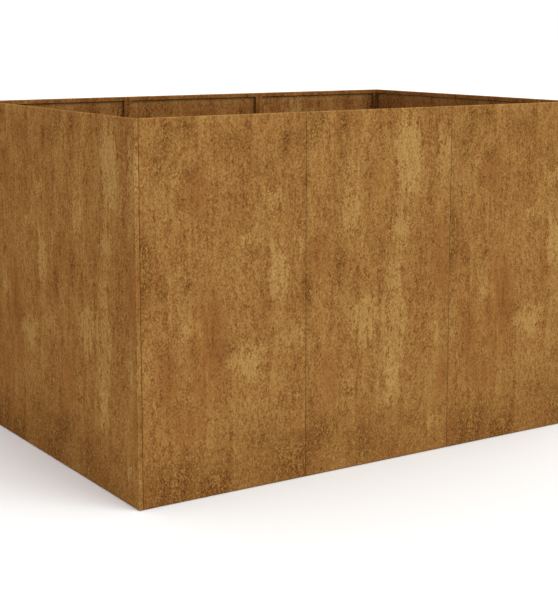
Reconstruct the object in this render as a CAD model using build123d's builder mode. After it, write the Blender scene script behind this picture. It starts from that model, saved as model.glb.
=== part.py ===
"""Planter box of rusted steel sheet, flat-packed: folded wall panels, joining strips and a base pan.

Millimetres. +X is along the length, +Y goes from the front wall to the back wall, +Z is up. The
origin is on the ground, under the middle of the box.
"""

import os

from build123d import *

# Driving sizes
LENGTH = 600.0  # outside, along X
WIDTH = 400.0  # outside, along Y
HEIGHT = 400.0

# Wall panels: trays with every edge folded in, and the top and side edges folded twice
SHEET = 1.0
FOLD_DEPTH = 5.0  # from a panel's face to the inner side of its lips
LIP = 5.0  # width of the second fold, which lies parallel to the face
BEND_INSIDE = 0.4  # inner radius of each bend
BOTTOM_FLANGE = 20.0  # width of the bottom fold, which carries the base pan
PANEL_GAP = 0.2  # between neighbouring panels

# Joining strips: they bridge the lips of two panels and are bolted to the panels' backs
STRIP_SHEET = 1.5
STRIP_BEND_INSIDE = 0.8
STRIP_CLEARANCE = 0.3  # between a strip and the lips that it bridges
BRIM = 16.0  # width of a strip's flat edge, which lies on a panel
STRIP_BELOW_RIM = 40.0
STRIP_ABOVE_BASE = 5.0

# Base pan
BASE_HEIGHT = 20.0  # from the ground to the top of the base
BASE_CLEARANCE = 0.4  # between the pan and the walls' lips
DRAIN_RADIUS = 6.0
DRAIN_COLUMNS = 4
DRAIN_ROWS = 2
DRAIN_EDGE = 80.0  # from the pan's edge to the centres of the outer drain holes

# M5 fasteners
STUD_RADIUS = 2.5
STUD_LENGTH = 9.0
STUD_TIP = 0.5  # chamfer at the free end
STUD_FOOT_RADIUS = 3.2  # welded foot, which is wider than the shank
STUD_FOOT = 0.8
STUD_ROWS = 3  # up each brim
STUD_FROM_END = 20.0  # from a strip's end to its nearest stud
WASHER_RADIUS = 5.0
WASHER = 1.0
NUT_FLATS = 8.0
NUT = 4.0
HOLE_CLEARANCE = 0.3  # round a stud's foot, in a strip
WASHER_CLEARANCE = 0.15  # round a stud, in a washer
THREAD_CLEARANCE = 0.05  # round a stud, in a nut

# Each wall has its own plane: X along the wall, Y into the box and Z up, with its origin on the
# ground at the corner where the wall begins. The walls follow each other round the box, and each
# begins one fold in from its corner, because the wall before it covers that fold.
UP = (0, 0, 1)
WALLS = {
    "front": (Plane(origin=(-LENGTH / 2, -WIDTH / 2, 0), x_dir=(1, 0, 0), z_dir=UP), LENGTH),
    "right": (Plane(origin=(LENGTH / 2, -WIDTH / 2, 0), x_dir=(0, 1, 0), z_dir=UP), WIDTH),
    "back": (Plane(origin=(LENGTH / 2, WIDTH / 2, 0), x_dir=(-1, 0, 0), z_dir=UP), LENGTH),
    "left": (Plane(origin=(-LENGTH / 2, WIDTH / 2, 0), x_dir=(0, -1, 0), z_dir=UP), WIDTH),
}
# A wall is split into as many equal widths as it has panels, in order from its origin, with a
# strip over each seam between two of them.
PANEL_NAMES = {
    "front": ["front_panel_left", "front_panel_middle", "front_panel_right"],
    "right": ["end_panel_right"],
    "back": ["back_panel_right", "back_panel_middle", "back_panel_left"],
    "left": ["end_panel_left"],
}
SEAM_NAMES = {
    "front": ["seam_strip_front_left", "seam_strip_front_right"],
    "back": ["seam_strip_back_right", "seam_strip_back_left"],
}
CORNER_NAMES = {
    "front": "corner_strip_front_left",
    "right": "corner_strip_front_right",
    "back": "corner_strip_back_right",
    "left": "corner_strip_back_left",
}

OUTER_BEND = BEND_INSIDE + SHEET
STRIP_BOTTOM = BASE_HEIGHT + STRIP_ABOVE_BASE
STRIP_LENGTH = HEIGHT - STRIP_BELOW_RIM - STRIP_BOTTOM
STRIP_BACK = FOLD_DEPTH + STRIP_CLEARANCE  # a seam strip's wall side where it crosses the lips
HOLE_RADIUS = STUD_FOOT_RADIUS + HOLE_CLEARANCE
STUD_FROM_LEG = STRIP_SHEET + BRIM / 2  # from the wall side of a strip's leg to its studs
STUD_PITCH = (STRIP_LENGTH - 2 * STUD_FROM_END) / (STUD_ROWS - 1)

os.makedirs("parts", exist_ok=True)


def save(part, label):
    """Label a finished piece and write its STEP file."""
    part.label = label
    export_step(part, f"parts/{label}.step")


def panel_starts(wall_length, panels):
    """Distances from a wall's origin to the start of each panel, and to the end of the last."""
    pitch = wall_length / panels
    return [FOLD_DEPTH + i * pitch for i in range(panels)] + [wall_length]


def make_panel(wall, wall_length, start, end, label):
    """A wall panel: a shallow tray with lips at its top and sides, and a wide bottom flange."""
    begin = start + PANEL_GAP
    width = end - begin
    middle = (begin + end) / 2
    inward = Axis(wall.origin, wall.y_dir)
    flange_end = min(end, wall_length - BOTTOM_FLANGE - PANEL_GAP)  # clear of the next wall's flange
    flange_root = FOLD_DEPTH / 2

    with BuildPart(wall) as panel:
        with Locations((middle, FOLD_DEPTH / 2, HEIGHT / 2)):
            Box(width, FOLD_DEPTH, HEIGHT)
        face_edges = panel.faces().sort_by(inward)[0].edges()
        lip_edges = panel.faces().sort_by(inward)[-1].edges().sort_by(Axis.Z)[1:]  # no lip at the bottom
        fillet(face_edges + lip_edges, OUTER_BEND)
        with Locations((middle, FOLD_DEPTH / 2, HEIGHT / 2)):
            Box(width - 2 * SHEET, FOLD_DEPTH - 2 * SHEET, HEIGHT - 2 * SHEET, mode=Mode.SUBTRACT)
        inside_edges = panel.edges(Select.LAST).filter_by(inward, reverse=True)
        fillet(inside_edges, BEND_INSIDE)
        with Locations((middle, FOLD_DEPTH, SHEET)):
            Box(
                width - 2 * LIP,
                2 * OUTER_BEND,
                HEIGHT - LIP - SHEET,
                align=(Align.CENTER, Align.CENTER, Align.MIN),
                mode=Mode.SUBTRACT,
            )
        with Locations((begin, flange_root, 0)):
            Box(flange_end - begin, BOTTOM_FLANGE - flange_root, SHEET, align=Align.MIN)
    save(panel.part, label)


def strip_outline(points, turns):
    """The closed outline of a folded strip, drawn along its wall side.

    A bend to the left has the strip on its inner side, so its wall side has the larger radius.
    """
    radii = {"left": STRIP_BEND_INSIDE + STRIP_SHEET, "right": STRIP_BEND_INSIDE}
    FilletPolyline(*points, radius=[radii[turn] for turn in turns])
    offset(amount=STRIP_SHEET, side=Side.LEFT)


def make_strip(wall, points, turns, hole_planes, label):
    """A joining strip: its outline drawn on the ground plane of a wall, raised, and drilled."""
    with BuildPart() as strip:
        with BuildSketch(wall.offset(STRIP_BOTTOM)):
            with BuildLine():
                strip_outline(points, turns)
            make_face()
        extrude(amount=STRIP_LENGTH)
        for plane in hole_planes:
            with BuildSketch(plane):
                Circle(HOLE_RADIUS)
            extrude(amount=STRIP_SHEET, mode=Mode.SUBTRACT)
    save(strip.part, label)


def fixings(wall, along):
    """Planes of the studs in one column: each on a panel's back, facing into the box."""
    heights = [STRIP_BOTTOM + STUD_FROM_END + i * STUD_PITCH for i in range(STUD_ROWS)]
    return [
        Plane(origin=wall.from_local_coords((along, SHEET, height)), x_dir=wall.x_dir, z_dir=wall.y_dir)
        for height in heights
    ]


# Wall panels
for side, (wall, wall_length) in WALLS.items():
    starts = panel_starts(wall_length, len(PANEL_NAMES[side]))
    for i, label in enumerate(PANEL_NAMES[side]):
        make_panel(wall, wall_length, starts[i], starts[i + 1], label)

# Seam strips: a hat section over the two lips at each seam
stud_planes = []
for side, labels in SEAM_NAMES.items():
    wall, wall_length = WALLS[side]
    seams = panel_starts(wall_length, len(PANEL_NAMES[side]))[1:-1]
    for seam, label in zip(seams, labels):
        left = seam - LIP - STRIP_CLEARANCE
        right = seam + PANEL_GAP + LIP + STRIP_CLEARANCE
        reach = STRIP_SHEET + BRIM
        hat = [
            (left - reach, SHEET), (left, SHEET), (left, STRIP_BACK),
            (right, STRIP_BACK), (right, SHEET), (right + reach, SHEET),
        ]
        columns = fixings(wall, left - STUD_FROM_LEG) + fixings(wall, right + STUD_FROM_LEG)
        make_strip(wall, hat, ["left", "right", "right", "left"], columns, label)
        stud_planes += columns

# Corner strips: a stepped section from the back of one wall, over the lips, to the next wall
WALL_BEFORE = {"front": "left", "right": "front", "back": "right", "left": "back"}
for side, label in CORNER_NAMES.items():
    wall, wall_length = WALLS[side]
    before, before_length = WALLS[WALL_BEFORE[side]]
    step = FOLD_DEPTH + PANEL_GAP + LIP + STRIP_CLEARANCE
    clear = max(FOLD_DEPTH, LIP) + STRIP_CLEARANCE  # of both walls' lips
    stepped = [
        (SHEET, clear + STRIP_SHEET + BRIM), (SHEET, clear),
        (step, clear), (step, SHEET), (step + STRIP_SHEET + BRIM, SHEET),
    ]
    columns = fixings(before, before_length - clear - STUD_FROM_LEG) + fixings(wall, step + STUD_FROM_LEG)
    make_strip(wall, stepped, ["left", "right", "left"], columns, label)
    stud_planes += columns

# Base pan: a plate folded down on all four sides, which stands on the walls' bottom flanges
pan_length = LENGTH - 2 * (FOLD_DEPTH + BASE_CLEARANCE)
pan_width = WIDTH - 2 * (FOLD_DEPTH + BASE_CLEARANCE)
pan_depth = BASE_HEIGHT - SHEET
with BuildPart() as base_pan:
    with BuildSketch(Plane.XY.offset(SHEET)):
        Rectangle(pan_length, pan_width)
    extrude(amount=pan_depth)
    fillet(base_pan.faces().sort_by(Axis.Z)[-1].edges(), OUTER_BEND)
    with BuildSketch(Plane.XY.offset(SHEET)):
        Rectangle(pan_length - 2 * SHEET, pan_width - 2 * SHEET)
    extrude(amount=pan_depth - SHEET, mode=Mode.SUBTRACT)
    with BuildSketch(Plane.XY.offset(BASE_HEIGHT)):
        with GridLocations(
            (pan_length - 2 * DRAIN_EDGE) / (DRAIN_COLUMNS - 1),
            (pan_width - 2 * DRAIN_EDGE) / (DRAIN_ROWS - 1),
            DRAIN_COLUMNS,
            DRAIN_ROWS,
        ):
            Circle(DRAIN_RADIUS)
    extrude(amount=-SHEET, mode=Mode.SUBTRACT)
save(base_pan.part, "base_pan")

# Fasteners: a stud, a washer and a nut at each fixing
with BuildPart(*stud_planes) as weld_studs:
    Cylinder(STUD_FOOT_RADIUS, STUD_FOOT, align=(Align.CENTER, Align.CENTER, Align.MIN))
    Cylinder(STUD_RADIUS, STUD_LENGTH - STUD_TIP, align=(Align.CENTER, Align.CENTER, Align.MIN))
    with Locations((0, 0, STUD_LENGTH - STUD_TIP)):
        Cone(STUD_RADIUS, STUD_RADIUS - STUD_TIP, STUD_TIP, align=(Align.CENTER, Align.CENTER, Align.MIN))
save(weld_studs.part, "weld_studs")

with BuildPart() as washers:
    for plane in stud_planes:
        with BuildSketch(plane.offset(STRIP_SHEET)):
            Circle(WASHER_RADIUS)
            Circle(STUD_RADIUS + WASHER_CLEARANCE, mode=Mode.SUBTRACT)
    extrude(amount=WASHER)
save(washers.part, "washers")

with BuildPart() as hex_nuts:
    for plane in stud_planes:
        with BuildSketch(plane.offset(STRIP_SHEET + WASHER)):
            RegularPolygon(NUT_FLATS / 2, side_count=6, major_radius=False)
            Circle(STUD_RADIUS + THREAD_CLEARANCE, mode=Mode.SUBTRACT)
    extrude(amount=NUT)
save(hex_nuts.part, "hex_nuts")
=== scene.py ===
# %% [markdown]
# # A planter box of rusted steel sheet
#
# The box comes as a finished model in a fixed frame: eight folded wall panels, the strips that join
# them inside, a base pan and small bolts. Its shapes are right already, so this lesson is about
# finish and light. Every surface gets a procedural material, and nothing is moved.

# %% Load the frame
import math

import bpy
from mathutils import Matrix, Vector


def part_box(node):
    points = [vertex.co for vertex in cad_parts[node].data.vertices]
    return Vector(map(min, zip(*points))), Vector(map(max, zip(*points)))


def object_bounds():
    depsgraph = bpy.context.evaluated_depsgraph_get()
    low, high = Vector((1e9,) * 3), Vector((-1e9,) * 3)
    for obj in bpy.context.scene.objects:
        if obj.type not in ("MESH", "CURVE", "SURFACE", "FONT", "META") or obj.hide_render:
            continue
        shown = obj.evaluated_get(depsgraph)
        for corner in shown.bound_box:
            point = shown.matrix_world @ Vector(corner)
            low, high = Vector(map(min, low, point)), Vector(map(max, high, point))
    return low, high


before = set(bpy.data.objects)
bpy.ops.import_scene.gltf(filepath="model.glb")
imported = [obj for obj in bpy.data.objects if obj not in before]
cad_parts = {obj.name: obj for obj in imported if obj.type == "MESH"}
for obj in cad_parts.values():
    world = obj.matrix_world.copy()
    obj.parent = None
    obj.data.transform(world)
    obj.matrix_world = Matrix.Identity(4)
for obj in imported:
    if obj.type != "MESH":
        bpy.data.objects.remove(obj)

cad_low, cad_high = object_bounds()
print("box of the model, in metres:", [round(v, 4) for v in (*cad_low, *cad_high)])
print("nodes:", len(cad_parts))

# %% [markdown]
# ## Camera
#
# The box is seen from the left of its front wall, from a little above its rim, with a long lens
# that keeps the two walls' perspective mild. The camera tips down at the box and has a small
# vertical shift. A level camera with a large shift would draw the upright edges exactly parallel,
# but it would also push the box out of the frame from every other side, so the tip was chosen.

# %% Camera
CAMERA_PLACE = Vector((-0.9303, -1.4285, 0.4879))  # metres from the middle of the box's foot
CAMERA_HEADING = 33.083  # degrees from straight at the front wall
CAMERA_TIP = 8.130  # degrees below level
LENS_MM = 84.05
SENSOR_MM = 36
SHIFT_UP = -0.12  # of the frame's longer side

camera = bpy.data.objects.new("camera", bpy.data.cameras.new("camera"))
camera.location = CAMERA_PLACE
camera.rotation_euler = (math.radians(90 - CAMERA_TIP), 0, math.radians(-CAMERA_HEADING))
camera.data.lens = LENS_MM
camera.data.sensor_width = SENSOR_MM
camera.data.shift_y = SHIFT_UP
bpy.context.collection.objects.link(camera)
bpy.context.scene.camera = camera
print("camera to the box's middle:", round((CAMERA_PLACE - (cad_low + cad_high) / 2).length, 3), "m")

# %% [markdown]
# ## Helpers
#
# Colours are written as they look on a screen, as hex values, and one function turns them to the
# linear values that light works in. One more function adds a shader node, sets its fields, inputs
# and colour stops, and links whatever sockets it is given.


# %% Colour and node helpers
# The sockets of a Mix node for colours, which share their names with its sockets for numbers
FACTOR = 0
COLOUR_A = 6
COLOUR_B = 7
MIXED_COLOUR = 2


def linear(hex_colour):
    """An sRGB hex colour as linear red, green, blue and alpha."""
    channels = [int(hex_colour[i : i + 2], 16) / 255 for i in (1, 3, 5)]
    return (*[c / 12.92 if c <= 0.04045 else ((c + 0.055) / 1.055) ** 2.4 for c in channels], 1.0)


def add(tree, kind, inputs=None, stops=(), **fields):
    """Add a node to a node tree. An input that is a socket is linked, and any other value is set."""
    node = tree.nodes.new(kind if kind.startswith("Node") else "ShaderNode" + kind)
    for name, value in fields.items():
        setattr(node, name, value)
    for i, (position, colour) in enumerate(stops):
        ramp = node.color_ramp.elements
        while len(ramp) < len(stops):
            ramp.new(0.5)
        ramp[i].position = position
        ramp[i].color = colour
    for name, value in (inputs or {}).items():
        if isinstance(value, bpy.types.NodeSocket):
            tree.links.new(value, node.inputs[name])
        else:
            node.inputs[name].default_value = value
    return node


def new_material(name):
    """An empty material with a Principled shader on its output."""
    material = bpy.data.materials.new(name)
    material.use_nodes = True
    material.node_tree.nodes.clear()
    shader = add(material.node_tree, "BsdfPrincipled")
    add(material.node_tree, "OutputMaterial", {"Surface": shader.outputs["BSDF"]})
    return material, shader


print("a middle grey, #808080, is", round(linear("#808080")[0], 3), "in linear light")

# %% [markdown]
# ## Studio
#
# The light is plain and soft: a bright surround gives most of it, and one wide, weak lamp from the
# front right makes the front wall a third brighter than the left wall. The surround is a touch warm
# and the lamp a touch cool, so the shaded walls are slightly redder than the lit one. Both are
# bright enough that the open background is plain white. The floor's own colour makes up for their
# tints and is a little brighter than white needs, so that no horizon shows and the box's shadow
# stays faint. The lamp is a sun lamp, because it lights a large floor evenly.

# %% Light and floor
SURROUND = 1.0
WARM = (1.06, 1.0, 1.0)
COOL = (0.92, 1.0, 1.0)
SUN_STRENGTH = 1.6
SUN_WIDTH = 45  # degrees across
SUN_FROM = Vector((0.45, -0.85, 0.75))
FLOOR_GLOW = 1.18  # how bright the open floor looks, where 1 is already white
FLOOR_SIZE = 60.0  # metres, so that its far edge lies below the horizon of every view
FLOOR_CLEARANCE = 0.0005  # metres under the box

world = bpy.data.worlds.new("studio")
world.use_nodes = True
world.node_tree.nodes["Background"].inputs["Strength"].default_value = SURROUND
world.node_tree.nodes["Background"].inputs["Color"].default_value = (*WARM, 1)
bpy.context.scene.world = world

sun = bpy.data.objects.new("sun", bpy.data.lights.new("sun", "SUN"))
sun.data.energy = SUN_STRENGTH
sun.data.color = COOL
sun.data.angle = math.radians(SUN_WIDTH)
sun.rotation_euler = SUN_FROM.to_track_quat("Z", "Y").to_euler()
bpy.context.collection.objects.link(sun)

sun_on_floor = SUN_STRENGTH * SUN_FROM.normalized().z / math.pi
floor_colour = [FLOOR_GLOW / (SURROUND * warm + sun_on_floor * cool) for warm, cool in zip(WARM, COOL)]
floor_mesh = bpy.data.meshes.new("floor")
half = FLOOR_SIZE / 2
corners = [(-half, -half, 0), (half, -half, 0), (half, half, 0), (-half, half, 0)]
floor_mesh.from_pydata(corners, [], [(0, 1, 2, 3)])
floor = bpy.data.objects.new("floor", floor_mesh)
floor.location.z = cad_low.z - FLOOR_CLEARANCE
bpy.context.collection.objects.link(floor)
floor_paint, floor_shader = new_material("matt_white_floor_paint")
floor_shader.inputs["Base Color"].default_value = (*floor_colour, 1)
floor_shader.inputs["Roughness"].default_value = 1.0
floor_shader.inputs["Specular IOR Level"].default_value = 0.0
floor_mesh.materials.append(floor_paint)
bpy.context.scene.view_settings.view_transform = "Standard"
print("floor reflects", [round(share, 3) for share in floor_colour])

# %% [markdown]
# ## Rusted steel sheet
#
# The panels are mild steel sheet that was wetted until it rusted all over, then sealed. Rust is a
# powdery oxide and no longer a metal to the eye: it is matt, so metallic is 0, roughness is near 1
# and hardly anything is mirrored. The sheets come from one coil, so they share one map of rust,
# 400 mm wide, and each panel shows its own part of it. A painted picture could hold that map, but
# nodes stay sharp at any closeness, so it is a node group: a brightness is built up from layers of
# noise and from the spots where rain has left ochre, dark or bare red-brown rust, and one ramp of
# rust colours turns that brightness into a colour.

# %% The colours of the rust
# As they are seen on a lit wall, from the darkest rust to the lightest
RUST_COLOURS = ["#63391b", "#784a25", "#8d5e2f", "#a0703b", "#ae8449", "#bb9458", "#c7a569"]
WALL_LIGHT = 1.475  # about how many times brighter than its own colour the light makes a wall
RUST_MIDDLE = 0.50  # the brightness of the commonest rust, as a place on the ramp

# Factors for red, green and blue, by which the ramp's colour is multiplied in some places
BARE_TINT = (1.02, 0.975, 0.96, 1)
DARK_TINT = (0.97, 1.02, 1.0, 1)
# Painted shade: the inner face is made a little darker and redder, as the shaded inside of the box looks.
INNER_FACE_PAINTED_SHADE = (1.02, 0.94, 0.94, 1)
# Painted shade: the lips and the joining strips are made darker and redder, against the light they catch.
LIP_PAINTED_SHADE = (0.92, 0.78, 0.72, 1)


def own_colour(seen):
    """The sheet's own linear colour, for a colour that is seen on a lit wall."""
    return (*[channel / WALL_LIGHT for channel in linear(seen)[:3]], 1.0)


print("rust colours:", len(RUST_COLOURS), "from", RUST_COLOURS[0], "to", RUST_COLOURS[-1])

# %% [markdown]
# ### Spots of rain
#
# Rain has left three kinds of spot: pale ochre where drops dried, dark where the rust stayed wet,
# and bare red-brown where the powder was washed off. They lie where they do by chance, so they are
# short lists placed one by one, as a painter would dab them on. Noise makes their edges ragged.

# %% The spots of the map
# Each spot: millimetres along and up, half its width and height, and its strength
OCHRE_FACTOR = 1.3  # both kinds are raised, so that they stand out from the grain
DARK_FACTOR = 1.35


def stronger(spots, factor):
    """The same spots with their strengths raised by a factor, to one decimal."""
    return [(*spot[:-1], round(spot[-1] * factor, 1)) for spot in spots]


SPOTS = {
    "ochre": stronger([
        (168, 235, 15, 40, 1.2), (165, 312, 18, 18, 0.8), (131, 270, 10, 14, 0.6), (130, 140, 26, 26, 1.0),
        (58, 183, 18, 15, 0.7), (48, 334, 10, 18, 0.6), (193, 162, 14, 12, 0.6), (197, 264, 9, 22, 0.5),
        (263, 290, 15, 36, 0.9), (262, 335, 12, 16, 0.6), (282, 165, 24, 36, 1.0), (344, 355, 26, 62, 1.0),
        (395, 348, 14, 44, 0.8), (326, 150, 18, 95, 1.2), (335, 262, 22, 30, 0.6), (262, 90, 15, 30, 0.5),
        (385, 140, 9, 13, 0.7), (320, 75, 20, 20, 0.5), (380, 34, 16, 16, 0.5), (190, 92, 12, 14, 0.5),
    ], OCHRE_FACTOR),
    "dark": stronger([
        (32, 384, 14, 34, 1.0), (24, 345, 10, 26, 0.9), (56, 390, 20, 18, 0.7), (66, 343, 14, 16, 0.8),
        (115, 372, 34, 24, 0.5), (180, 366, 10, 22, 1.0), (152, 346, 24, 18, 0.6), (218, 386, 13, 24, 1.2),
        (204, 374, 18, 26, 0.6), (253, 382, 12, 24, 0.8), (250, 348, 8, 16, 0.7), (204, 330, 8, 30, 0.7),
        (6, 250, 22, 60, 0.9), (29, 224, 10, 18, 0.7), (57, 228, 12, 12, 0.8), (207, 208, 13, 34, 0.8),
        (250, 234, 13, 34, 0.8), (304, 245, 18, 22, 0.6), (352, 250, 18, 12, 0.4), (110, 156, 15, 16, 0.7),
    ], DARK_FACTOR) + [  # those near the foot keep their own strength
        (36, 20, 30, 34, 1.0), (88, 12, 30, 26, 1.0), (190, 26, 30, 40, 0.9), (228, 48, 26, 30, 0.9),
        (150, 52, 26, 22, 0.6), (282, 30, 18, 36, 0.8), (352, 46, 24, 16, 0.6), (60, 42, 26, 18, 0.6),
    ],
    "bare": [
        (82, 160, 30, 90, 1.0), (36, 130, 22, 60, 0.7), (70, 325, 20, 40, 0.7), (110, 290, 16, 40, 0.4),
        (234, 105, 20, 46, 0.9), (222, 250, 18, 40, 0.6), (395, 225, 24, 60, 0.9), (392, 85, 22, 50, 0.6),
        (60, 75, 30, 24, 0.6), (150, 190, 16, 40, 0.4), (300, 320, 18, 30, 0.4), (200, 50, 26, 12, 0.5),
    ],
}
print("spots on the map:", {name: len(spots) for name, spots in SPOTS.items()})


# %% One kind of spot
def spot_strength(tree, place, spots):
    """The summed strength of spots at a place: each is a cone that falls to 0 at its outline."""
    total = 0.0
    for along, up, half_width, half_height, strength in spots:
        inside = add(tree, "Mapping", {
            "Vector": place,
            "Scale": (1 / half_width, 0, 1 / half_height),
            "Location": (-along / half_width, 0, -up / half_height),
        })
        cone = add(tree, "TexGradient", {"Vector": inside.outputs["Vector"]}, gradient_type="SPHERICAL")
        total = add(tree, "Math", {0: cone.outputs["Fac"], 1: strength, 2: total}, operation="MULTIPLY_ADD")
        total = total.outputs[0]
    return total


# %% [markdown]
# ### Layers of noise
#
# Rust grains are 0.1 to 0.5 mm across, too fine to show from where the whole box is seen, so the
# grain is drawn as clumps of 2 mm. Flecks and mottle are where drops have dried, drift is how the
# bath wetted the coil, and streaks are runs. All are taller than wide, because the sheet hung
# upright in the bath. One fractal noise could hold every size, but its sizes couldn't be weighted
# one by one, so each layer is a noise of its own.

# %% The layers of noise
# Each layer: millimetres across and up the sheet, octaves, and the share that each octave keeps
LAYERS = {
    "grain": (1.9, 2.4, 1, 0.8),
    "fleck": (4.2, 7, 1, 0.8),
    "mottle": (10, 18, 2, 0.8),
    "drift": (34, 110, 3, 0.8),
    "streak": (6, 70, 2, 0.75),
}
OFF_GRID = (0.5, 0.3, 0.7)  # radians that turn the noise's own grid away from the sheet's edges
print("layers of noise:", ", ".join(LAYERS))


def rust_layers(tree, place):
    """The sockets that give each layer of noise at a place on the coil."""
    layers = {}
    for name, (across, up, octaves, keep) in LAYERS.items():
        spread = add(tree, "Mapping", {
            "Vector": place, "Scale": (1 / across, 1 / across, 1 / up), "Rotation": OFF_GRID,
        })
        noise = add(tree, "TexNoise", {
            "Vector": spread.outputs["Vector"], "Scale": 1.0, "Detail": octaves, "Roughness": keep,
        })
        layers[name] = noise.outputs["Fac"]
    return layers


# %% [markdown]
# ### Painted light and shade on the folds
#
# A panel is folded from one sheet, and how deep a place lies under the wall's outer face tells what
# it is. Just under the face it is on a bend, which painted light makes lighter, so that the grooves
# at the seams look less shaded. At the sheet's thickness it is the inner face, which painted shade
# makes darker and redder, except in the strip just under the rim, where painted light lightens the
# shade of the rim's recess. Deeper than the fold it is a lip or a joining strip, which painted shade
# makes darker and redder. Masks from that depth need no extra mesh and no painting by hand.

# %% Folds
MM = 1000  # millimetres in a metre
SHEET = 1.0  # millimetres thick
SHEET_MARGIN = 0.1  # millimetres to either side of the inner face
BEND_START = (0.05, 0.5)  # millimetres deep, where the painted light on the bends begins and is whole
BEND_END = (0.7, 0.98)  # millimetres deep, where it fades and has ended
LIP_START = (4.6, 4.95)  # millimetres deep, where the fold has turned into the lip
UNDER_RIM_LIGHT = (386.0, 394.0)  # millimetres up, where the painted light under the rim begins and is whole
# This band under the rim gets painted light, which lightens the shade in the lip's recess.
print("the rim shelters the inner face from", round(cad_high.z * MM) - UNDER_RIM_LIGHT[0], "mm below it")


def fold_masks(tree, place):
    """Masks of a folded sheet's bends and rim strip, for painted light, and of its inner face and lips, for
    painted shade.
    """
    parts = add(tree, "SeparateXYZ", {"Vector": place})
    ramps = []
    for part, (low, high) in (("Y", BEND_START), ("Y", BEND_END), ("Y", LIP_START), ("Z", UNDER_RIM_LIGHT)):
        ramps.append(add(tree, "MapRange", {"Value": parts.outputs[part], "From Min": low, "From Max": high}))
    bend_start, bend_end, lip, under_rim_light = [ramp.outputs["Result"] for ramp in ramps]
    inner = add(tree, "Math", {0: parts.outputs["Y"], 1: SHEET, 2: SHEET_MARGIN}, operation="COMPARE")
    # The bends and the strip under the rim carry painted light; the inner face and the lips carry painted
    # shade.
    return {
        "rubbed": add(tree, "Math", {0: bend_start, 1: bend_end}, operation="SUBTRACT").outputs[0],
        "inner": inner.outputs[0],
        "sheltered": add(tree, "Math", {0: inner.outputs[0], 1: under_rim_light}, operation="MULTIPLY").outputs[0],
        "lip": lip,
    }


# %% [markdown]
# ### The map put together
#
# The place is first pushed about by a broad noise, so that the spots' outlines wander. A spot shows
# where its strength and the layers of noise add up to enough, so its edge breaks up into grains. The
# foot of the walls is splashed, which counts as more dark. Dark spots are crowds of dark grains, so
# the grain also decides how much of them shows, and bare rust is calmer than the rest. Then
# everything moves the brightness along the ramp by its own weight.

# %% Weights of the map
RAGGED_SIZE = (12, 12, 26)  # millimetres across, through and up
RAGGED_START = (3.1, 0.4, 7.7)  # which stretch of the noise is used
RAGGED_OCTAVES = 3
RAGGED_KEEP = 0.75
NOISE_MIDDLE = 0.5
PUSH = (30, 0, 46)  # millimetres per unit of noise, further up the wall than across it
FOOT = (90.0, 10.0)  # millimetres up, where the splashes begin and are whole
FOOT_STRENGTH = 0.35
EDGE_LAYERS = {"mottle": 1.4, "fleck": 0.8, "grain": 1.2, "streak": 1.2}
SPOT_EDGE = (2.38, 3.10)  # summed strength at which a spot begins and is whole
CROWD_GRAIN = (0.62, 0.38)  # grain in which least and most of a dark spot shows
CROWD_SHARE = (0.7, 1.3)  # how much of it shows there
CALM = 0.55  # how much of the fine layers is left in bare rust
CALMED_LAYERS = ("grain", "fleck", "mottle")

# How far each layer and mask moves the brightness along the ramp
LAYER_MOVES = {"grain": 1.05, "fleck": 0.46, "mottle": 0.45, "drift": 0.45, "streak": 0.42}
# The bends and the strip under the rim move up the ramp as painted light.
MASK_MOVES = {"ochre": 0.17, "dark": -0.16, "bare": -0.08, "rubbed": 0.17, "sheltered": 0.30}
# The inner face and the lips are tinted darker and redder as painted shade.
MASK_TINTS = {"bare": BARE_TINT, "whole dark": DARK_TINT, "inner": INNER_FACE_PAINTED_SHADE, "lip": LIP_PAINTED_SHADE}


# %% The masks of the spots
def spot_masks(tree, place, layers):
    """Masks of the three kinds of spot, and of the dark spots before their grains part them."""
    ragged = add(tree, "Mapping", {
        "Vector": place, "Scale": [1 / size for size in RAGGED_SIZE], "Location": RAGGED_START,
    })
    ragged = add(tree, "TexNoise", {
        "Vector": ragged.outputs["Vector"], "Scale": 1.0, "Detail": RAGGED_OCTAVES, "Roughness": RAGGED_KEEP,
    })
    push = add(tree, "VectorMath", {0: ragged.outputs["Color"], 1: [NOISE_MIDDLE] * 3}, operation="SUBTRACT")
    push = add(tree, "VectorMath", {0: push.outputs[0], 1: PUSH, 2: place}, operation="MULTIPLY_ADD")
    pushed = push.outputs[0]
    height = add(tree, "SeparateXYZ", {"Vector": pushed}).outputs["Z"]
    foot = add(tree, "MapRange", {"Value": height, "From Min": FOOT[0], "From Max": FOOT[1]}).outputs[0]

    masks = {}
    for name, spots in SPOTS.items():
        total = spot_strength(tree, pushed, spots)
        if name == "dark":
            total = add(tree, "Math", {0: foot, 1: FOOT_STRENGTH, 2: total}, operation="MULTIPLY_ADD")
            total = total.outputs[0]
        for layer, weight in EDGE_LAYERS.items():
            total = add(tree, "Math", {0: layers[layer], 1: weight, 2: total}, operation="MULTIPLY_ADD")
            total = total.outputs[0]
        masks[name] = add(tree, "MapRange", {
            "Value": total, "From Min": SPOT_EDGE[0], "From Max": SPOT_EDGE[1],
        }, interpolation_type="SMOOTHSTEP").outputs["Result"]

    crowd = add(tree, "MapRange", {
        "Value": layers["grain"], "From Min": CROWD_GRAIN[0], "From Max": CROWD_GRAIN[1],
        "To Min": CROWD_SHARE[0], "To Max": CROWD_SHARE[1],
    }, clamp=False).outputs["Result"]
    masks["whole dark"] = masks["dark"]
    masks["dark"] = add(tree, "Math", {0: masks["dark"], 1: crowd}, operation="MULTIPLY").outputs[0]
    return masks


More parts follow.
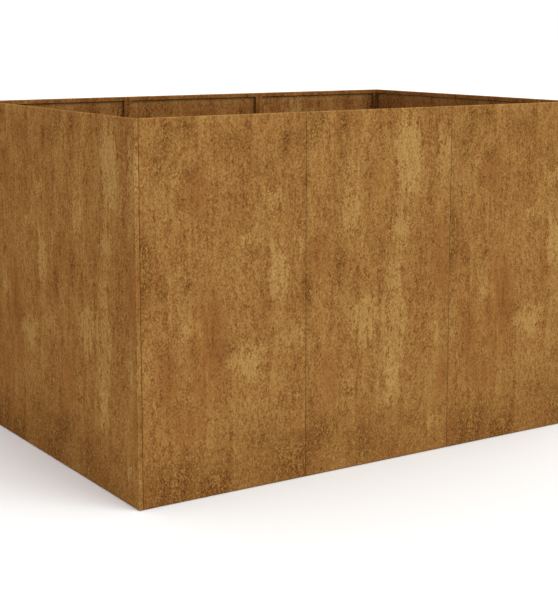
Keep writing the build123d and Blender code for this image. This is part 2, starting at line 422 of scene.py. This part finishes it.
# %% The coil's map of rust
def rust_and_painted_fold_light_map():
    """Node group: the coil's rust colour, with painted light and shade on folds, and relief, at a place in
    millimetres.
    """
    tree = bpy.data.node_groups.new("coil_rust_with_painted_fold_light_and_shade", "ShaderNodeTree")
    tree.interface.new_socket("Place", in_out="INPUT", socket_type="NodeSocketVector")
    tree.interface.new_socket("Colour", in_out="OUTPUT", socket_type="NodeSocketColor")
    tree.interface.new_socket("Relief", in_out="OUTPUT", socket_type="NodeSocketFloat")
    place = add(tree, "NodeGroupInput").outputs["Place"]
    layers = rust_layers(tree, place)
    masks = {**spot_masks(tree, place, layers), **fold_masks(tree, place)}

    calm = add(tree, "MapRange", {"Value": masks["bare"], "To Min": 1.0, "To Max": CALM}).outputs["Result"]
    level = RUST_MIDDLE
    for name, weight in LAYER_MOVES.items():
        noise = add(tree, "Math", {0: layers[name], 1: NOISE_MIDDLE}, operation="SUBTRACT").outputs[0]
        if name in CALMED_LAYERS:
            noise = add(tree, "Math", {0: noise, 1: calm}, operation="MULTIPLY").outputs[0]
        level = add(tree, "Math", {0: noise, 1: weight, 2: level}, operation="MULTIPLY_ADD").outputs[0]
    for name, weight in MASK_MOVES.items():
        level = add(tree, "Math", {0: masks[name], 1: weight, 2: level}, operation="MULTIPLY_ADD").outputs[0]

    stops = [(i / (len(RUST_COLOURS) - 1), own_colour(c)) for i, c in enumerate(RUST_COLOURS)]
    colour = add(tree, "ValToRGB", {"Fac": level}, stops).outputs["Color"]
    for name, tint in MASK_TINTS.items():
        tinted = add(tree, "Mix", {
            FACTOR: masks[name], COLOUR_A: colour, COLOUR_B: tint,
        }, data_type="RGBA", blend_type="MULTIPLY")
        colour = tinted.outputs[MIXED_COLOUR]
    add(tree, "NodeGroupOutput", {"Colour": colour, "Relief": level})
    return tree


coil = rust_and_painted_fold_light_map()
print("nodes in the rust map:", len(coil.nodes))

# %% [markdown]
# ## Each panel's part of the coil
#
# A panel's place on the map is counted in millimetres from its wall's left end, seen from outside.
# On the front wall the second panel carries on from the first and the third starts the map again.
# The left end shows the whole map, as the first two front panels do. The walls behind show it
# turned round or in another order, so that the box doesn't repeat itself from every side.

# %% Panels
RUST_ROUGHNESS = 0.9
RUST_BUMP = 0.5
RUST_RELIEF = 0.0004  # metres from the deepest rust to the highest
COIL_PLACES = {  # how far the wall is turned from the front wall, the way along the map, and its start
    "front_panel_left": (0, 1, 0),
    "front_panel_middle": (0, 1, 0),
    "front_panel_right": (0, 1, -400),
    "end_panel_right": (90, -1, 405),
    "back_panel_right": (180, 1, 200),
    "back_panel_middle": (180, -1, 410),
    "back_panel_left": (180, 1, -200),
    "end_panel_left": (270, 1, 0),
}


def rusted_sheet(name, turn, way, start):
    """Mild steel sheet, rusted by wetting and sealed, that shows its own part of the coil."""
    material, shader = new_material(name)
    tree = material.node_tree
    facing_y = turn % 180 == 0
    half_length = cad_high.x if facing_y else cad_high.y
    half_depth = cad_high.y if facing_y else cad_high.x
    place = add(tree, "Mapping", {
        "Vector": add(tree, "TexCoord").outputs["Object"],
        "Scale": (way * MM, MM, MM) if facing_y else (MM, way * MM, MM),
        "Rotation": (0, 0, -math.radians(turn)),
        "Location": (start + way * half_length * MM, half_depth * MM, 0),
    })
    rust = add(tree, "Group", {"Place": place.outputs["Vector"]}, node_tree=coil)
    bump = add(tree, "Bump", {
        "Height": rust.outputs["Relief"], "Strength": RUST_BUMP, "Distance": RUST_RELIEF,
    })
    tree.links.new(rust.outputs["Colour"], shader.inputs["Base Color"])
    tree.links.new(bump.outputs["Normal"], shader.inputs["Normal"])
    shader.inputs["Roughness"].default_value = RUST_ROUGHNESS
    shader.inputs["Specular IOR Level"].default_value = 0.0
    return material


def dress(node, material):
    """Give a node of the frame its one material."""
    slots = bpy.data.objects[node].data.materials
    slots.clear()
    slots.append(material)


for name, (turn, way, start) in COIL_PLACES.items():
    dress(name, rusted_sheet("rusted_sheet_" + name, turn, way, start))
print("panels dressed:", len(COIL_PLACES))

# %% [markdown]
# ## Joining strips
#
# The strips that join the panels are folded from thicker sheet of another coil. They are rusted in
# the same bath, so they take the same map, but far from its spots, where there is only the even
# grain and the runs that water leaves. Each strip starts at another place, so no two are alike.

# %% Joining strips
STRIP_TURNS = {  # degrees that each strip's wall is turned from the front wall
    "seam_strip_front_left": 0,
    "seam_strip_front_right": 0,
    "seam_strip_back_left": 180,
    "seam_strip_back_right": 180,
    "corner_strip_front_left": 270,
    "corner_strip_front_right": 0,
    "corner_strip_back_right": 90,
    "corner_strip_back_left": 180,
}
PAST_THE_SPOTS = 1200  # millimetres along the map
STRIP_STEP = 170  # millimetres from one strip's place to the next

# Lying deeper than the walls' folds, the strips also take the lips' painted shade.
for i, (name, turn) in enumerate(STRIP_TURNS.items()):
    dress(name, rusted_sheet("rusted_strip_" + name, turn, 1, PAST_THE_SPOTS + STRIP_STEP * i))
print("strips dressed:", len(STRIP_TURNS))

# %% [markdown]
# ## Base pan
#
# The pan is the same rusted sheet laid flat, where rain stands before it finds a drain hole. It
# leaves pale silt inside a ragged tide line, and the rust round each hole stays wet longest and goes
# dark. The silt is one mask of noise, its tide line is the narrow band where that mask rises, and
# the dark rings are cones centred on the holes.

# %% Silt and wet rust
SILT = "#86683f"
TIDE_LINE = "#5f3a1c"
WET_RUST = "#4a2a15"
PUDDLE = 90  # millimetres, the usual width of a puddle
PUDDLE_OCTAVES = 6
PUDDLE_KEEP = 0.6
SILT_EDGE = (0.53, 0.66)  # of the puddles' noise, where silt begins and is thickest
SILT_COVER = 0.55
TIDE_STOPS = ((0.50, 0), (0.53, 0.45), (0.54, 0.3), (0.57, 0))  # of the same noise, and its cover
PAN_PLACE = (PAST_THE_SPOTS * 3, 0, PAST_THE_SPOTS)  # on the map, away from the strips
DRAIN_EDGE = 80  # millimetres from the pan's side to the outer holes
DRAIN_COLUMNS = 4
DRAIN_ROWS = 2
WET_RADIUS = 24  # millimetres
WET_EDGE = (0.70, 1.15)
DRY_ROUGHNESS = 0.92
WET_ROUGHNESS = 0.6
SEALED_SPECULAR = 0.2


def wet_rings(tree, here):
    """The summed strength of the wet rings round the pan's drain holes."""
    low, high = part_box("base_pan")
    across = (high[0] - low[0]) * MM - 2 * DRAIN_EDGE
    along = (high[1] - low[1]) * MM - 2 * DRAIN_EDGE
    wet = 0.0
    for column in range(DRAIN_COLUMNS):
        for row in range(DRAIN_ROWS):
            x = low[0] * MM + DRAIN_EDGE + across * column / (DRAIN_COLUMNS - 1)
            y = low[1] * MM + DRAIN_EDGE + along * row / (DRAIN_ROWS - 1)
            inside = add(tree, "Mapping", {
                "Vector": here,
                "Scale": (MM / WET_RADIUS, MM / WET_RADIUS, 0),
                "Location": (-x / WET_RADIUS, -y / WET_RADIUS, 0),
            })
            cone = add(tree, "TexGradient", {"Vector": inside.outputs["Vector"]}, gradient_type="SPHERICAL")
            wet = add(tree, "Math", {0: cone.outputs["Fac"], 1: wet}, operation="ADD").outputs[0]
    return wet


# %% Base pan
def drained_pan(name):
    """Rusted sheet laid flat, with silt, tide lines and wet rust round its drain holes."""
    material, shader = new_material(name)
    tree = material.node_tree
    here = add(tree, "TexCoord").outputs["Object"]
    flat = add(tree, "Mapping", {
        "Vector": here, "Scale": (MM, MM, MM), "Rotation": (math.radians(90), 0, 0), "Location": PAN_PLACE,
    })
    rust = add(tree, "Group", {"Place": flat.outputs["Vector"]}, node_tree=coil)
    puddles = add(tree, "TexNoise", {
        "Vector": here, "Scale": MM / PUDDLE, "Detail": PUDDLE_OCTAVES, "Roughness": PUDDLE_KEEP,
    }).outputs["Fac"]
    silt = add(tree, "MapRange", {
        "Value": puddles, "From Min": SILT_EDGE[0], "From Max": SILT_EDGE[1], "To Max": SILT_COVER,
    }).outputs["Result"]
    stops = [(position, (cover, cover, cover, 1)) for position, cover in TIDE_STOPS]
    tide = add(tree, "ValToRGB", {"Fac": puddles}, stops).outputs["Color"]
    ragged = add(tree, "Math", {0: wet_rings(tree, here), 1: puddles}, operation="ADD").outputs[0]
    wet = add(tree, "MapRange", {
        "Value": ragged, "From Min": WET_EDGE[0], "From Max": WET_EDGE[1],
    }).outputs["Result"]

    colour = rust.outputs["Colour"]
    for mask, paint in ((silt, SILT), (tide, TIDE_LINE), (wet, WET_RUST)):
        layer = add(tree, "Mix", {FACTOR: mask, COLOUR_A: colour, COLOUR_B: linear(paint)}, data_type="RGBA")
        colour = layer.outputs[MIXED_COLOUR]
    dull = add(tree, "MapRange", {"Value": wet, "To Min": DRY_ROUGHNESS, "To Max": WET_ROUGHNESS})
    bump = add(tree, "Bump", {
        "Height": rust.outputs["Relief"], "Strength": RUST_BUMP, "Distance": RUST_RELIEF,
    })
    tree.links.new(colour, shader.inputs["Base Color"])
    tree.links.new(dull.outputs["Result"], shader.inputs["Roughness"])
    tree.links.new(bump.outputs["Normal"], shader.inputs["Normal"])
    shader.inputs["Specular IOR Level"].default_value = SEALED_SPECULAR
    return material


dress("base_pan", drained_pan("rusted_pan_with_silt"))
print("base pan dressed, with", DRAIN_COLUMNS * DRAIN_ROWS, "wet rings")

# %% [markdown]
# ## Weld studs, washers and nuts
#
# The studs are welded to the panels, and the washers and nuts are electroplated with zinc and
# passivated: a bright grey with a faint warm cast, a little rough where the crystals grew. Plating
# on threads and corners is thin, so rust has begun there. A mask of noise turns the metal into
# rust: where it is 1 the surface is no metal, matt and brown. A real plating crystal is far too
# small to see, so the cloudy variation is drawn coarser, in clouds of 3 mm.

# %% Zinc-plated steel
ZINC_LIGHT = "#c8c6be"
ZINC_DULL = "#b1aea5"
ZINC_RUST = "#6b3f1d"
ZINC_CLOUD = 3  # millimetres
ZINC_CLOUD_OCTAVES = 3
RUST_SPOT = 2.2  # millimetres
RUST_SPOT_OCTAVES = 4
RUST_SPOT_KEEP = 0.7
RUST_SPOT_EDGE = (-0.03, 0.05)  # of the noise, about the level at which a rust spot begins
SHARE_TO_NOISE = 0.4  # how far that level moves when the rusted share goes from 0 to 1
ZINC_ROUGHNESS = 0.38
ZINC_BUMP = 0.4
ZINC_RELIEF = 0.0001  # metres that a rust spot stands proud


def zinc_plated(name, rusted_share):
    """Zinc-plated steel on which rust has begun. The share is how much of it is rusted."""
    material, shader = new_material(name)
    tree = material.node_tree
    here = add(tree, "TexCoord").outputs["Object"]
    cloud = add(tree, "TexNoise", {
        "Vector": here, "Scale": MM / ZINC_CLOUD, "Detail": ZINC_CLOUD_OCTAVES,
    }).outputs["Fac"]
    zinc = add(tree, "Mix", {
        FACTOR: cloud, COLOUR_A: linear(ZINC_DULL), COLOUR_B: linear(ZINC_LIGHT),
    }, data_type="RGBA").outputs[MIXED_COLOUR]
    spots = add(tree, "TexNoise", {
        "Vector": here, "Scale": MM / RUST_SPOT, "Detail": RUST_SPOT_OCTAVES, "Roughness": RUST_SPOT_KEEP,
    }).outputs["Fac"]
    edge = NOISE_MIDDLE + (0.5 - rusted_share) * SHARE_TO_NOISE
    rust = add(tree, "MapRange", {
        "Value": spots, "From Min": edge + RUST_SPOT_EDGE[0], "From Max": edge + RUST_SPOT_EDGE[1],
    }).outputs["Result"]
    colour = add(tree, "Mix", {FACTOR: rust, COLOUR_A: zinc, COLOUR_B: linear(ZINC_RUST)}, data_type="RGBA")
    metal = add(tree, "MapRange", {"Value": rust, "To Min": 1.0, "To Max": 0.0})
    rough = add(tree, "MapRange", {"Value": rust, "To Min": ZINC_ROUGHNESS, "To Max": RUST_ROUGHNESS})
    bump = add(tree, "Bump", {"Height": rust, "Strength": ZINC_BUMP, "Distance": ZINC_RELIEF})
    tree.links.new(colour.outputs[MIXED_COLOUR], shader.inputs["Base Color"])
    tree.links.new(metal.outputs["Result"], shader.inputs["Metallic"])
    tree.links.new(rough.outputs["Result"], shader.inputs["Roughness"])
    tree.links.new(bump.outputs["Normal"], shader.inputs["Normal"])
    return material


for name, share in (("weld_studs", 0.35), ("washers", 0.20), ("hex_nuts", 0.25)):
    dress(name, zinc_plated("zinc_plated_steel_" + name, share))
